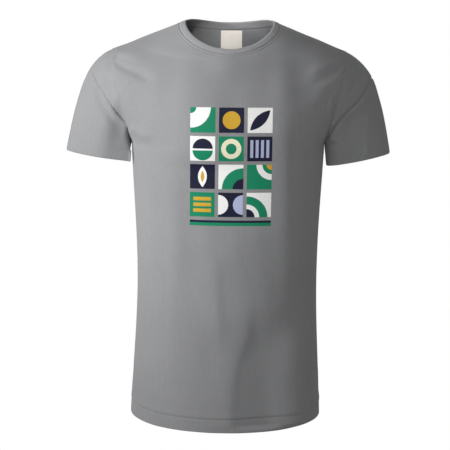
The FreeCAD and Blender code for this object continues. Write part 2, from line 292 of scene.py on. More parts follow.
# Each fold: its line as (x, z), its height, its width on the line's left and on its right, and how soon it
# starts and ends
FRONT_FOLDS = [
    ([(-204, -56), (-197, -63), (-176, -69), (-150, -75)], -1.2, 4, 5, 0.1),
    ([(-204, -62), (-190, -71), (-164, -82), (-136, -92)], 0.8, 5, 5, 0.1),
    ([(-203, -66), (-193, -75), (-173, -84), (-146, -95), (-122, -108)], -4.0, 9, 8, 0.06),
    ([(-170, -184), (-158, -190), (-142, -196), (-124, -201)], 2.6, 7, 10, 0.1),
    ([(-176, -54), (-158, -55), (-114, -61), (-86, -69), (-50, -71), (0, -76)], -3.2, 9, 24, 0.3, 0.3),
    ([(204, -62), (184, -70), (150, -82), (122, -96)], 0.9, 6, 8, 0.1),
    ([(203, -72), (180, -86), (150, -102), (124, -118)], -1.2, 7, 7, 0.1),
    ([(196, -90), (176, -104), (148, -122)], 0.9, 6, 7, 0.1),
    ([(186, -120), (177, -131), (175, -145), (175, -166)], 2.2, 3, 3, 0.2, 0.3),
    ([(188, -128), (166, -140), (140, -150)], -1.6, 6, 8, 0.1),
    ([(166, -196), (148, -220), (120, -236)], -2.4, 7, 7, 0.1),
    ([(-22, -390), (-21, -440), (-18, -500), (-12, -580)], 2.2, 13, 36, 0.25, 0.35),
    ([(35, -450), (34, -537), (21, -572), (13, -599), (7, -652), (7, -706)], 2.2, 13, 30, 0.45, 0.02),
    ([(-92, -300), (-92, -590)], 1.5, 24, 30),
    ([(10, -330), (10, -600)], 3.8, 48, 60),
    ([(80, -480), (76, -600), (74, -706)], -7.0, 34, 50, 0.4, 0.02),
    ([(136, -500), (138, -620), (139, -706)], 9.5, 7, 40, 0.3, 0.02),
    ([(84, -56), (90, -130), (96, -200), (106, -300), (112, -420), (116, -560)], 2.8, 26, 22, 0.12, 0.3),
    ([(132, -54), (134, -110), (132, -160)], -1.6, 18, 26, 0.2, 0.4),
    ([(96, -150), (99, -300), (102, -420), (104, -520)], 1.5, 10, 34, 0.2, 0.3),
    ([(0, -84), (2, -130), (0, -230)], -2.0, 26, 36),
    ([(-118, -215), (-112, -330), (-108, -470), (-114, -690)], -1.6, 16, 22),
]
BACK_FOLDS = [
    ([(-196, -80), (-160, -96), (-118, -104)], -2.2, 8, 8),
    ([(196, -80), (160, -98), (122, -108)], -2.2, 8, 8),
    ([(-165, -205), (-130, -226), (-92, -236)], -2.6, 9, 9),
    ([(165, -205), (132, -230), (96, -244)], -2.6, 9, 9),
    ([(0, -150), (2, -260), (-2, -400), (0, -520)], -2.4, 26, 26),
    ([(-70, -380), (-64, -470), (-72, -560), (-66, -690)], 1.8, 18, 24),
    ([(74, -360), (70, -470), (78, -580), (72, -690)], 1.8, 24, 18),
    ([(-60, -452), (-20, -462), (30, -458), (66, -448)], 1.2, 9, 9),
]


def body_relief(p):
    """How far the cloth stands out from the form."""
    out = folded(p, FRONT_FOLDS, BACK_FOLDS)
    front = p[:, 1] < 0
    # The chest, fullest to the wearer's right of the middle
    across = np.exp(-((p[:, 0] + 46) / np.where(p[:, 0] < -46, 58, 90)) ** 2)
    out += 8.0 * across * smooth((-42 - p[:, 2]) / 36) * smooth((p[:, 2] + 254) / 40) * front
    # Side of the chest, front of the shoulder, below the collar, and both shoulder blades
    out += bump(p, (104, -108, -196), (50, 60, 44), 0.8)
    out += bump(p, (149, -100, -94), (22, 60, 34), 1.4)
    out += bump(p, (0, -112, -112), (40, 50, 22), 1.0)
    for x in (-80, 80):
        out += bump(p, (x, 100, -150), (44, 60, 60), 2.2)
    # Long undulations down the body, finer ones all over, and fine waves above the hem
    low = smooth((-230 - p[:, 2]) / 200)
    out += ripples(p, 11, 130, 520, 0.75) * low + ripples(p, 12, 60, 340, 0.22)
    out += ripples(p, 13, 700, 46, 0.12) * smooth((p[:, 2] + 690) / 20) * smooth((-590 - p[:, 2]) / 40)
    return out


# The body net

def body_columns():
    return 2 * PI * np.arange(2 * HALF) / (2 * HALF)


# Rows near the hem and near the neck seam, as lengths from them: closest where stitches and seams dip
HEM_ROWS = [0.0, 0.3, 0.8, 1.6, 4, 7, 10, 13, 16, 19, 21.2, 22.0, 22.6, 23.2, 24.0, 24.8, 25.4, 26.0, 26.6,
            27.4, 29, 32, 36, 40]
NECK_ROWS = [9.5, 7.0, 5.5, 4.9, 4.3, 3.7, 2.8, 2.1, 1.5, 0.9, 0.0]


def lengths_along(places):
    """How far each place is from the first, down each column of a net or along one line."""
    steps = np.linalg.norm(np.diff(places, axis=0), axis=-1)
    return np.concatenate([np.zeros((1,) + steps.shape[1:]), np.cumsum(steps, axis=0)])


def body_net():
    """Rows of places on the form: from the hem to the underarm by height, then to the neck seam by length."""
    angle = body_columns()
    hem = form(angle, np.full(len(angle), HEM_Z))[:, 1] * math.tan(HEM_TILT) + HEM_Z
    rows = [form(angle, hem + d) for d in HEM_ROWS]
    first = hem + HEM_ROWS[-1]
    for k in range(1, LOWER_ROWS + 1):
        rows.append(form(angle, first + (UNDERARM_Z - first) * k / LOWER_ROWS))
    seam = neck_seam(angle)
    fine = np.array([form(angle, UNDERARM_Z + (seam - UNDERARM_Z) * k / 400) for k in range(401)])
    length = lengths_along(fine)
    upper = []
    for j in range(len(angle)):
        total = length[-1, j]
        even = (total - NECK_ROWS[0]) * np.arange(1, UPPER_ROWS) / UPPER_ROWS
        wanted = np.concatenate([even, total - np.array(NECK_ROWS)])
        upper.append(np.interp(wanted, length[:, j], fine[:, j, 2]))
    rows += [form(angle, z) for z in np.array(upper).T]
    return np.array(rows)


def net_normals(net, side=1):
    """Outward directions of a net that closes across its columns."""
    across = np.roll(net, -1, axis=1) - np.roll(net, 1, axis=1)
    up = np.empty_like(net)
    up[1:-1] = net[2:] - net[:-2]
    up[0], up[-1] = net[1] - net[0], net[-1] - net[-2]
    out = np.cross(up, across) * side
    return out / np.maximum(1e-9, np.linalg.norm(out, axis=2, keepdims=True))


def moved(net, normals, out):
    return net + normals * np.asarray(out)[..., None]


BARE_BODY = body_net()
BODY_NORMALS = net_normals(BARE_BODY)
ROW_COUNT = len(BARE_BODY)
FIRST_NECK_ROW = ROW_COUNT - len(NECK_ROWS)
BODY_RELIEF = body_relief(BARE_BODY.reshape(-1, 3)).reshape(BARE_BODY.shape[:2])


def body_detail():
    """Stitch lines, the rolled hem edge and the seams, as small moves in or out."""
    out = np.zeros(BARE_BODY.shape[:2])
    for row, d in enumerate(HEM_ROWS):
        for line in HEM_STITCHES:
            out[row] -= HEM_STITCH_DIP * math.exp(-((d - line) / 0.7) ** 2)
        above_hem = 0.75 * smooth((d - 24.6) / 1.6) * smooth((40 - d) / 12)
        out[row] += above_hem - 0.35 * math.exp(-((d - 24.4) / 1.6) ** 2)
        if d < HEM_ROLL:
            out[row] -= CLOTH * (1 - math.sqrt(max(0.0, 1 - (1 - d / HEM_ROLL) ** 2)))
    for k, d in enumerate(NECK_ROWS):
        out[FIRST_NECK_ROW + k] += (0.35 * math.exp(-((d - 2.6) / 1.0) ** 2)
                                    - 0.45 * math.exp(-((d - 4.6) / 0.7) ** 2)
                                    - 0.7 * math.exp(-(d / 0.9) ** 2))
    for column in (0, HALF):
        out[:, column] -= SEAM_DIP
        for step in (1, -1):
            out[:, column + step] += 0.12
    return out


BODY = moved(BARE_BODY, BODY_NORMALS, BODY_RELIEF + body_detail())
CLOTH_BODY = moved(BARE_BODY, BODY_NORMALS, BODY_RELIEF)
CLOTH_NORMALS = net_normals(CLOTH_BODY)


def sample(net, column, row):
    """Places between the net's own, by column and row."""
    column, row = np.broadcast_arrays(np.asarray(column, float), np.asarray(row, float))
    c0, r0 = np.floor(column).astype(int), np.clip(np.floor(row).astype(int), 0, ROW_COUNT - 2)
    fc, fr = (column - c0)[..., None], (row - r0)[..., None]
    c0, c1 = c0 % (2 * HALF), (c0 + 1) % (2 * HALF)
    low = net[r0, c0] * (1 - fc) + net[r0, c1] * fc
    high = net[r0 + 1, c0] * (1 - fc) + net[r0 + 1, c1] * fc
    return low * (1 - fr) + high * fr


def row_at(angle, z):
    """The row, in parts, at which the form is at height z in the column at that angle."""
    angle, z = np.broadcast_arrays(np.asarray(angle, float), np.asarray(z, float))
    out = np.empty(angle.shape)
    for i in np.ndindex(angle.shape):
        column = int(round(angle[i] / (2 * PI) * 2 * HALF)) % (2 * HALF)
        out[i] = np.interp(z[i], BARE_BODY[:, column, 2], np.arange(ROW_COUNT))
    return out


def on_body(angle, z, inward=0.0):
    """Places on the folded cloth, or that far inside it."""
    row = row_at(angle, z)
    column = np.asarray(angle) / (2 * PI) * 2 * HALF
    return sample(CLOTH_BODY, column, row) - sample(CLOTH_NORMALS, column, row) * inward


# The sleeves

# Groove lines on the front of each sleeve, from the outer arm down to the underarm
GROOVES = {
    1: [(262, -84), (246, -105), (235, -124), (225, -137), (212, -149), (198, -164), (186, -178), (177, -192),
        (171, -208)],
    -1: [(-240, -90), (-236, -99), (-228, -115), (-215, -134), (-202, -151), (-188, -169), (-179, -181),
         (-173, -193), (-168, -210)],
}

# Folds on the front of each sleeve
SLEEVE_FOLDS = {
    1: [([(232, -86), (216, -112), (200, -136)], -1.8, 6, 6),
        ([(222, -150), (210, -186), (206, -236)], -2.6, 10, 12, 0.25, 0.05),
        ([(246, -150), (240, -190), (240, -236)], 2.0, 10, 10, 0.25, 0.05)],
    -1: [([(-218, -90), (-207, -113), (-192, -138)], -3.0, 5, 9, 0.4, 0.5),
         ([(-234, -112), (-221, -145), (-190, -188)], -4.0, 6, 8)],
}

# How far from the armhole each sleeve's folds reach their full height
FOLD_START = {1: 14.0, -1: 6.0}

# How far from the armhole its dip runs out, and how far the sleeve bends to meet the body's own armhole
DIP_END = 14.0
JOIN_END = 26.0


def bezier(points, t):
    while len(points) > 1:
        points = [a + (b - a) * t for a, b in zip(points, points[1:])]
    return points[0]


def sleeve_net(side):
    """Rings of the sleeve form, from the armhole to the cuff. Each runs round from the underarm over the
    front. The last column repeats the first."""
    under = np.array([CHEST_HALF_WIDTH, 0, UNDERARM_Z])
    top = np.array([SHOULDER_HALF_WIDTH, 0, TIP_Z])
    drop, opening, tilt, half_depth, turn, pressed = CUFFS[side]
    under_end = under + [2.0 if pressed else 4.0, 0, -drop]
    top_end = under_end + np.array([math.cos(tilt), 0, math.sin(tilt)]) * opening
    low_path = [under, under + [1.0, 0, -15.0], under_end]
    high_path = [top, top + [SHOULDER_REACH, 0, -SHOULDER_REACH / 2],
                 top + [1.5 * SHOULDER_REACH, 0, -SHOULDER_FALL], top_end]
    angle = 2 * PI * np.arange(SLEEVE_AROUND) / SLEEVE_AROUND
    t = (1 - np.cos(angle)) / 2
    z = UNDERARM_Z + t * (TIP_Z - UNDERARM_Z)
    front = angle <= PI
    n = back_roundness(z)
    back_y = back_depth(z) * np.maximum(0, 1 - (armhole_x(z) / half_width(z)) ** n) ** (1 / n)
    at_armhole = np.where(front, -armhole_front(z), back_y)
    inner = 1 - 2 * t
    n = np.where(inner > 0, 1.5 if pressed else 2.2, 1.7)
    at_cuff = np.where(front, -1, 1) * half_depth * np.maximum(0, 1 - np.abs(inner) ** n) ** (1 / n)
    at_cuff -= opening / 2 * turn * inner
    if pressed:
        # The front stays level from a third of the way to the underarm, and the back folds in to meet it
        low_share = np.maximum(0, inner)
        bent = np.minimum(low_share, 0.34)
        level = half_depth + opening / 2 * (turn * bent - 0.6 * bent * bent - 0.05 * (low_share - bent))
        fold = at_cuff - (level[0] - opening / 2 * turn) * low_share * low_share
        at_cuff = np.where(inner <= 0, at_cuff, np.where(front, -level, fold))
    rings = []
    for k in range(SLEEVE_ALONG + 1):
        s = k / SLEEVE_ALONG
        low, high = bezier(low_path, s), bezier(high_path, s)
        ring = low + (high - low) * t[:, None]
        blend = 0.75 * s * (2 - s) + 0.25 * s * s * (3 - 2 * s)
        if pressed:
            blend = blend + (1 - (1 - s) ** 5 - blend) * smooth(low_share / 0.6)
        ring[:, 1] = at_armhole + (at_cuff - at_armhole) * blend
        ring[:, 0] *= side
        rings.append(ring)
    return np.array(rings), z


def armhole_on_body(side, z, front):
    """Places of the armhole on the folded body cloth."""
    n = np.where(front, front_roundness(z), back_roundness(z))
    c = np.clip(armhole_x(z) / half_width(z), 0, 1) ** (n / 2)
    turn = np.arccos(c)
    angle = np.where(front, turn, 2 * PI - turn) if side > 0 else np.where(front, PI - turn, PI + turn)
    return on_body(angle, z)


def sleeve_relief(p, side):
    off, share = along(p, GROOVES[side])
    off = off * side                      # positive on the upper, inner side of the groove
    # The groove, then the swell of the cloth on each side of it
    here = smooth(share / (0.10 if side > 0 else 0.03)) * smooth((1 - share) / 0.06) * (p[:, 1] < 0)
    out = (-2.0 if side < 0 else -1.7) * np.exp(-(off / 1.5) ** 2) * here
    outer = np.exp(-(np.maximum(0, -off) / 16) ** 2) * (off <= 0)
    inner = np.exp(-(np.maximum(0, off) / 18) ** 2) * (off > 0)
    if side > 0:
        out += here * (outer * (smooth((0.55 - share) / 0.4) - 1.2 * smooth((share - 0.45) / 0.3))
                       + inner * (1.4 + 3.6 * smooth((share - 0.1) / 0.3)))
    else:
        out -= here * outer * (0.3 + 1.3 * smooth((share - 0.05) / 0.25))
    out += folded(p, SLEEVE_FOLDS[side], [
        ([(side * 256, -96), (side * 222, -140), (side * 184, -190)], -2.6, 8, 8),
        ([(side * 232, -90), (side * 212, -120), (side * 196, -146)], 1.6, 8, 8),
        ([(side * 262, -150), (side * 236, -190), (side * 212, -226)], -1.4, 10, 10),
    ])
    return out + ripples(p, 21 if side > 0 else 22, 70, 150, 0.3)


def sleeve_surface(side):
    """The folded sleeve: it starts on the body's own armhole line."""
    net, z = sleeve_net(side)
    front = np.arange(SLEEVE_AROUND) <= SLEEVE_AROUND // 2
    shift = armhole_on_body(side, z, front) - net[0]
    lengths = lengths_along(net)
    net = net + shift[None] * (1 - smooth(lengths / JOIN_END))[..., None]
    normals = net_normals(net, side)
    relief = sleeve_relief(net.reshape(-1, 3), side).reshape(net.shape[:2])
    relief = relief * smooth(lengths / FOLD_START[side])
    to_cuff = lengths[-1] - lengths
    detail = np.zeros_like(relief)
    detail -= ARMHOLE_DIP * (1 - smooth(lengths / DIP_END))
    for line in SLEEVE_STITCHES:
        detail -= CUFF_STITCH_DIP * np.exp(-((to_cuff - line) / 0.9) ** 2)
    roll = np.clip(to_cuff / CUFF_ROLL, 0, 1)
    detail -= 0.9 * (1 - np.sqrt(1 - (1 - roll) ** 2))
    detail[:, 0] -= 0.7 * smooth(lengths[:, 0] / 6)
    plain = moved(net, normals, relief)
    return {"places": moved(net, normals, relief + detail), "plain": plain,
            "normals": net_normals(plain, side), "lengths": lengths}


# Meshes

def mesh_of(bm, name):
    """The finished mesh. What it was made in is let go."""
    mesh = bpy.data.meshes.new(name)
    bm.to_mesh(mesh)
    bm.free()
    return mesh


def net_mesh(name, places, flat=None, flip=False, weld=False):
    """A mesh of a rectangular net of places in millimetres. flat holds its UVs, in metres of cut cloth."""
    if flip:
        places = places[::-1]
        flat = None if flat is None else flat[::-1]
    rows, cols = places.shape[:2]
    bm = bmesh.new()
    bmesh.ops.create_grid(bm, x_segments=cols - 1, y_segments=rows - 1, size=1.0)
    mesh = mesh_of(bm, name)
    co = np.empty(len(mesh.vertices) * 3, np.float32)
    mesh.vertices.foreach_get("co", co)
    grid = co.reshape(-1, 3)
    col = np.rint((grid[:, 0] + 1) / 2 * (cols - 1)).astype(int)
    row = np.rint((grid[:, 1] + 1) / 2 * (rows - 1)).astype(int)
    mesh.vertices.foreach_set("co", (places[row, col] * MM).astype(np.float32).ravel())
    if flat is not None:
        layer = mesh.uv_layers.new(name="cloth")
        corners = np.empty(len(mesh.loops), np.int32)
        mesh.loops.foreach_get("vertex_index", corners)
        layer.data.foreach_set("uv", (flat[row, col][corners] * MM).astype(np.float32).ravel())
    if weld:
        bm = bmesh.new()
        bm.from_mesh(mesh)
        bmesh.ops.remove_doubles(bm, verts=bm.verts, dist=1e-6)
        bm.to_mesh(mesh)
        bm.free()
    return mesh


def sharpen_edges(mesh):
    """Keeps the shading of cloth flat up to its cut edges."""
    edges = np.empty(len(mesh.loops), np.int32)
    mesh.loops.foreach_get("edge_index", edges)
    open_edge = np.bincount(edges, minlength=len(mesh.edges)) == 1
    mesh.attributes.new("sharp_edge", "BOOLEAN", "EDGE").data.foreach_set("value", open_edge)


def placed(name, data):
    """A new object in the scene."""
    obj = bpy.data.objects.new(name, data)
    bpy.context.scene.collection.objects.link(obj)
    return obj


def piece(name, mesh, material, nodes=(), wall=0.0):
    """A finished piece: smooth, walled inwards if it is cloth, and carried by the shirt."""
    mesh.shade_smooth()
    mesh.materials.append(material)
    if wall:
        sharpen_edges(mesh)
    obj = placed(name, mesh)
    if wall:
        solid = obj.modifiers.new("wall", "SOLIDIFY")
        solid.thickness = wall * MM
        solid.offset = -1
        solid.use_even_offset = False
    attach(obj, "root")
    if nodes:
        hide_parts(*nodes)
    return obj


def flat_sizes(places):
    """How far each place is from the first column, and from the first row, along the cloth."""
    rows, cols = places.shape[:2]
    across, up = lengths_along(places[rows // 2]), lengths_along(places[:, cols // 2])
    return np.stack(np.meshgrid(across, up), -1)


# Materials

class Value:
    """A number or vector that varies over a surface: sums on it add Math nodes."""

    def __init__(self, tree, socket):
        self.tree, self.socket = tree, socket

    def math(self, operation, *others):
        return self.tree.node("ShaderNodeMath", {"operation": operation},
                              {i: v for i, v in enumerate((self,) + others)})

    def __add__(self, other):
        return self.math("ADD", other)

    def __sub__(self, other):
        return self.math("SUBTRACT", other)

    def __rsub__(self, other):
        return (self * -1) + other

    def __mul__(self, other):
        return self.math("MULTIPLY", other)

    def __truediv__(self, other):
        return self.math("DIVIDE", other)

    def __abs__(self):
        return self.math("ABSOLUTE")

    __radd__, __rmul__ = __add__, __mul__

    def fract(self):
        return self.math("FRACT")

    def sine(self):
        return self.math("SINE")

    def most(self, other):
        return self.math("MAXIMUM", other)

    def between(self, low, high, out_low=0.0, out_high=1.0):
        return self.tree.node("ShaderNodeMapRange", {"interpolation_type": "SMOOTHSTEP"},
                              {0: self, 1: low, 2: high, 3: out_low, 4: out_high})


class Nodes:
    """A node tree, emptied and ready for new nodes."""

    def __init__(self, tree):
        self.nodes, self.links = tree.nodes, tree.links
        self.nodes.clear()

    def node(self, kind, settings=None, inputs=None, output=0):
        made = self.nodes.new(kind)
        for key, value in (settings or {}).items():
            setattr(made, key, value)
        for key, value in (inputs or {}).items():
            if isinstance(value, Value):
                self.links.new(value.socket, made.inputs[key])
            else:
                made.inputs[key].default_value = value
        return Value(self, made.outputs[output])


class Finish(Nodes):
    """A material and its nodes."""

    def __init__(self, name, colour=(0.5, 0.5, 0.5), roughness=0.9, **plain):
        self.material = bpy.data.materials.new(name)
        self.material.use_nodes = True
        super().__init__(self.material.node_tree)
        self.shader = self.nodes.new("ShaderNodeBsdfPrincipled")
        self.out = self.nodes.new("ShaderNodeOutputMaterial")
        self.links.new(self.shader.outputs[0], self.out.inputs[0])
        self.material.diffuse_color = (*colour, 1)
        self.set("Base Color", (*colour, 1))
        self.set("Roughness", roughness)
        for key, value in plain.items():
            self.set(key.replace("_", " "), value)

    def set(self, socket, value):
        target = self.shader.inputs[socket]
        if isinstance(value, Value):
            self.links.new(value.socket, target)
        else:
            target.default_value = value

    def place(self):
        return self.node("ShaderNodeTexCoord", output="Object")

    def cloth(self):
        """The two lengths along the cut cloth, in metres."""
        lengths = self.node("ShaderNodeUVMap", {"uv_map": "cloth"})
        split = self.node("ShaderNodeSeparateXYZ", inputs={0: lengths})
        return split, Value(self, split.socket.node.outputs[1])

    def noise(self, where, scale, detail=2.0, stretch=None, roughness=0.5):
        if stretch:
            where = self.node("ShaderNodeMapping", inputs={"Vector": where, "Scale": stretch})
        return self.node("ShaderNodeTexNoise", inputs={"Vector": where, "Scale": scale, "Detail": detail,
                                                       "Roughness": roughness})

    def mix(self, share, a, b):
        return self.node("ShaderNodeMix", {"data_type": "RGBA"}, {0: share, 6: a, 7: b}, output=2)

    def tinted(self, share, dark, light):
        self.set("Base Color", self.mix(share, (*dark, 1), (*light, 1)))

    def bump(self, height, strength, distance, normal=None):
        inputs = {"Height": height, "Strength": strength, "Distance": distance}
        if normal is not None:
            inputs["Normal"] = normal
        return self.node("ShaderNodeBump", inputs=inputs)


GREY = (0.250, 0.252, 0.258)


def shade(colour, by):
    return tuple(min(1.0, c * by) for c in colour)


def knit(finish, wale, course):
    """Height of plain knitted stitches: columns of nested V shapes. Where it tints a colour, it paints shade
    into the hollows between stitches.
    """
    u, v = finish.cloth()
    column = u / wale
    leg = abs(column.fract() - 0.5) * 2
    row = (v / course + leg * 0.9).fract()
    crown = (leg * (1 - leg)) * 4
    return (abs(row - 0.5) * -2 + 1) * (crown * 0.7 + 0.3)


def jersey():
    finish = Finish("grey_jersey", GREY, 0.92, Sheen_Weight=0.12, Sheen_Roughness=0.45,
                    Specular_IOR_Level=0.25)
    where = finish.place()
    stitches = knit(finish, wale=0.00105, course=0.00082)
    slub = finish.noise(where, 1.0, 3.0, (900, 900, 26))
    patches = finish.noise(where, 9.0, 2.0)
    heather = finish.noise(where, 1.0, 2.0, (1700, 1700, 240))
    # Random tone from the slub, patches and heather, plus the stitch height: lighter on the stitch crowns, a
    # painted shade in the hollows between them
    tone = slub * 0.42 + patches * 0.2 + heather * 0.2 + stitches * 0.18
    finish.tinted(tone.between(0.25, 0.78), shade(GREY, 0.86), shade(GREY, 1.13))
    finish.set("Roughness", slub.between(0.2, 0.8, 0.86, 0.97))
    soft = finish.bump(slub * 0.6 + patches * 0.4, 0.10, 0.0008)
    finish.set("Normal", finish.bump(stitches, 0.30, 0.00035, soft))
    return finish.material


def rib_knit():
    finish = Finish("grey_rib", GREY, 0.92, Sheen_Weight=0.12, Sheen_Roughness=0.45, Specular_IOR_Level=0.25)
    where = finish.place()
    stitches = knit(finish, wale=0.0011, course=0.0009)
    u, _ = finish.cloth()
    wale = (u * (2 * PI / 0.0022)).sine() * 0.5 + 0.5
    slub = finish.noise(where, 1.0, 2.0, (700, 700, 700))
    # The rib wave and the stitch height tint the colour: lighter on the crowns, a painted shade in the
    # valleys; the slub adds random tone
    finish.tinted((wale * 0.45 + slub * 0.35 + stitches * 0.2).between(0.15, 0.85),
                  shade(GREY, 0.84), shade(GREY, 1.10))
    finish.set("Normal", finish.bump(wale * 0.7 + stitches * 0.3, 0.45, 0.0004))
    return finish.material


def tape_cloth():
    finish = Finish("grey_tape", shade(GREY, 0.95), 0.9, Sheen_Weight=0.1, Specular_IOR_Level=0.25)
    u, v = finish.cloth()
    weave = (u / 0.0009).fract().between(0, 1) * 0.5 + ((v / 0.0006) + (u / 0.0018)).fract() * 0.5
    slub = finish.noise(finish.place(), 400.0)
    finish.tinted((weave * 0.5 + slub * 0.5).between(0.2, 0.8), shade(GREY, 0.80), shade(GREY, 1.06))
    finish.set("Normal", finish.bump(weave, 0.4, 0.0003))
    return finish.material


def label_cloth():
    finish = Finish("cream_label", (0.90, 0.83, 0.75), 0.62, Sheen_Weight=0.15, Specular_IOR_Level=0.4)
    u, v = finish.cloth()
    warp = ((u / 0.00042).fract() - 0.5) * 2
    weft = ((v / 0.00034).fract() - 0.5) * 2
    satin = (1 - abs(warp)) * 0.4 + (1 - abs(weft)) * 0.6
    patches = finish.noise(finish.place(), 60.0, 2.0)
    # The turned ends, a little over 2 mm at the top and at the bottom
    fold = abs(v - 0.023).between(0.0205, 0.0212)
    finish.tinted(satin * 0.35 + patches * 0.45 - fold * 0.25 + 0.12, (0.94, 0.87, 0.78), (1.0, 0.95, 0.88))
    finish.set("Roughness", patches.between(0.3, 0.7, 0.55, 0.72))
    finish.set("Normal", finish.bump(satin - fold * 0.8, 0.35, 0.00025))
    return finish.material


def overlock_thread():
    finish = Finish("grey_overlock", shade(GREY, 0.92), 0.85, Sheen_Weight=0.1, Specular_IOR_Level=0.3)
    u, v = finish.cloth()
    loops = ((u / 0.0026) + abs((v / 0.007).fract() - 0.5) * 1.1).fract()
    strand = (abs(loops - 0.5) * -2 + 1).between(0.15, 0.85)
    slub = finish.noise(finish.place(), 500.0)
    finish.tinted(strand * 0.6 + slub * 0.3, shade(GREY, 0.55), shade(GREY, 1.08))
    finish.set("Normal", finish.bump(strand, 0.8, 0.0006))
    return finish.material


def stitch_thread():
    finish = Finish("grey_stitching", shade(GREY, 1.12), 0.7, Sheen_Weight=0.1, Specular_IOR_Level=0.35)
    twist = finish.noise(finish.place(), 1.0, 1.0, (2600, 2600, 2600))
    finish.tinted(twist.between(0.3, 0.7), shade(GREY, 0.92), shade(GREY, 1.28))
    finish.set("Normal", finish.bump(twist, 0.3, 0.0002))
    return finish.material


def ink(name, colour):
    """Screen-printed film: the knit shows through a little, with pinholes where the cloth stands up."""
    finish = Finish("ink_" + name, colour, 0.6, Specular_IOR_Level=0.2)
    where = finish.place()
    grain = finish.noise(where, 1.0, 2.0, (1500, 1500, 700))
    wear = finish.noise(where, 1.0, 3.0, (420, 420, 420), 0.6)
    tone = (grain * 0.6 + wear * 0.4).between(0.28, 0.62)
    finish.tinted(tone, tuple(c * 0.84 + 0.003 for c in colour), colour)
    finish.set("Roughness", wear.between(0.3, 0.7, 0.52, 0.7))
    finish.set("Normal", finish.bump(grain * 0.6 + wear * 0.4, 0.25, 0.0003))
    return finish.material


JERSEY, RIB, TAPE = jersey(), rib_knit(), tape_cloth()
LABEL, OVERLOCK, STITCH = label_cloth(), overlock_thread(), stitch_thread()


# Body panels

def panel_net(net, front):
    if front:
        return net[:, :HALF + 1]
    return np.concatenate([net[:, HALF:], net[:, :1]], axis=1)


ARMHOLE_UP = np.array([SHOULDER_HALF_WIDTH - CHEST_HALF_WIDTH, 0, TIP_Z - UNDERARM_Z])
ARMHOLE_UP = ARMHOLE_UP / np.linalg.norm(ARMHOLE_UP)


def armhole_plane(side):
    out = Vector((side * ARMHOLE_UP[2], 0, -ARMHOLE_UP[0]))
    return Vector((side * CHEST_HALF_WIDTH, 0, UNDERARM_Z)) * MM, out.normalized()


def open_armholes(mesh):
    """Cuts the cloth off at both armhole planes, above the underarm, and dips the cut edge into the seam."""
    bm = bmesh.new()
    bm.from_mesh(mesh)
    for side in (1, -1):
        co, out = armhole_plane(side)
        level = UNDERARM_Z * MM
        upper = [f for f in bm.faces if all(v.co.z > level - 1e-3 for v in f.verts)
                 and f.calc_center_median().z > level + 1e-4 and f.calc_center_median().x * side > 0.1]
        edges = {e for f in upper for e in f.edges}
        verts = {v for f in upper for v in f.verts}
        bmesh.ops.bisect_plane(bm, geom=list(verts) + list(edges) + upper, dist=1e-7,
                               plane_co=co, plane_no=out)
        gone = [f for f in bm.faces if (f.calc_center_median() - co).dot(out) > 1e-6
                and f.calc_center_median().z > level + 1e-6]
        bmesh.ops.delete(bm, geom=gone, context="FACES")
        bm.normal_update()
        for v in bm.verts:
            if v.co.z > level + 1e-4 and v.is_boundary and abs((v.co - co).dot(out)) < 2e-5:
                v.co -= v.normal * ARMHOLE_DIP * MM
    bm.to_mesh(mesh)
    bm.free()


def make_panel(name, front, node):
    places = panel_net(BODY, front)
    mesh = net_mesh(name, places, flat_sizes(places), True)
    open_armholes(mesh)
    return piece(name, mesh, JERSEY, (node,), CLOTH)


front_cloth = make_panel("front_cloth", True, "front_panel")
back_cloth = make_panel("back_cloth", False, "back_panel")


def closed(net):
    """A ring net with its first column again at the end."""
    return np.concatenate([net, net[:, :1]], axis=1)


def strip(name, places, material, nodes, wall, flip, weld=False):
    mesh = net_mesh(name, places, flat_sizes(places), flip, weld)
    return piece(name, mesh, material, nodes, wall)


# Body hem, tape, label and seam strips, all inside the cloth

hem_rows = [k for k, d in enumerate(HEM_ROWS) if 0.3 <= d <= BODY_HEM]
hem_inside = moved(CLOTH_BODY, CLOTH_NORMALS, np.full(CLOTH_BODY.shape[:2], -(CLOTH + LAYER_GAP)))[hem_rows]
hem_fold = strip("hem_fold", closed(hem_inside), JERSEY, ("body_hem",), HEM_WALL, True, True)


def back_band(low, high, inward, rows):
    """A band on the back, between two lengths below the neck seam."""
    column = np.linspace(PI, 2 * PI, 120) / (2 * PI) * 2 * HALF
    out = []
    for d in np.linspace(low, high, rows):
        row = ROW_COUNT - 1 - np.interp(d, np.array(NECK_ROWS)[::-1], np.arange(len(NECK_ROWS)))
        if d > NECK_ROWS[0]:
            row = FIRST_NECK_ROW - (d - NECK_ROWS[0]) / ROW_STEP
        out.append(sample(CLOTH_BODY, column, row) - sample(CLOTH_NORMALS, column, row) * inward)
    return np.array(out)


neck_tape = strip("neck_tape_cloth", back_band(0.2, 10.0, CLOTH + LAYER_GAP, 9), TAPE,
                  ("neck_tape",), TAPE_WALL, False)

# The label's sides and its top and bottom
LABEL_X = (-15.5, 23)
LABEL_Z = (-18.4, -64)


def label_net(rows=25, cols=21):
    x = np.linspace(*LABEL_X, cols)
    out = []
    for z in np.linspace(*LABEL_Z, rows):
        n = back_roundness(z)
        turn = np.arccos(np.sign(x) * (np.abs(x) / half_width(z)) ** (n / 2))
        places = on_body(2 * PI - turn, np.full(cols, z), CLOTH + LAYER_GAP + TAPE_WALL + LABEL_GAP)
        lift = 0.5 * smooth((-30 - z) / 30) * (0.6 + 0.4 * np.cos(x / 20 * PI * 0.7))
        places[:, 1] -= lift
        out.append(places)
    return np.array(out)


label = strip("neck_label_cloth", label_net(), LABEL, ("neck_label",), LABEL_WALL, False)


